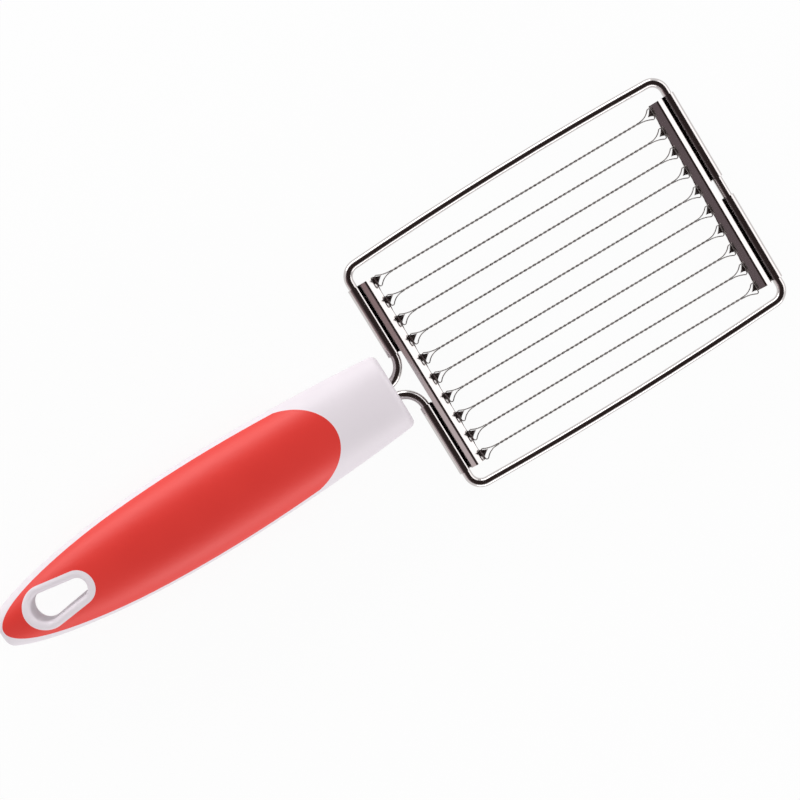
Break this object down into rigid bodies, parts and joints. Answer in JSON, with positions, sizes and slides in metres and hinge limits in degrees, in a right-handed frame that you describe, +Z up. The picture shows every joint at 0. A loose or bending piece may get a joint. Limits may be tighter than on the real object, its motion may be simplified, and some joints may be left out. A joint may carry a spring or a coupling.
{
  "type": "egg slicer",
  "caption": "Hand-held wire slicer: a bent rod frame with a row of taut twisted wires on two toothed combs, and a moulded handle with soft grip inlays and a hanging slot.",
  "frame": {"origin": "bottom centre of the part's box, on the surface that it lies on", "axes": "+X along the handle towards the wire frame, +Y across the wires, +Z up out of the wire plane"},
  "size_m": [0.2708, 0.0862, 0.0243],
  "materials": {
    "frame_steel": "polished stainless rod",
    "comb_steel": "polished stainless strip",
    "wire_steel": "bright twisted stainless wire",
    "white_plastic": "satin white moulding",
    "red_grip": "matte soft-touch red"
  },
  "bodies": {
    "root": {"frame_rod": "frame_steel", "rear_comb": "comb_steel", "front_comb": "comb_steel", "cutting_wire_01": "wire_steel", "cutting_wire_02": "wire_steel", "cutting_wire_03": "wire_steel", "cutting_wire_04": "wire_steel", "cutting_wire_05": "wire_steel", "cutting_wire_06": "wire_steel", "cutting_wire_07": "wire_steel", "cutting_wire_08": "wire_steel", "cutting_wire_09": "wire_steel", "cutting_wire_10": "wire_steel", "handle_core": "white_plastic", "grip_panel_top": "red_grip", "grip_panel_bottom": "red_grip"}
  },
  "joints": []
}
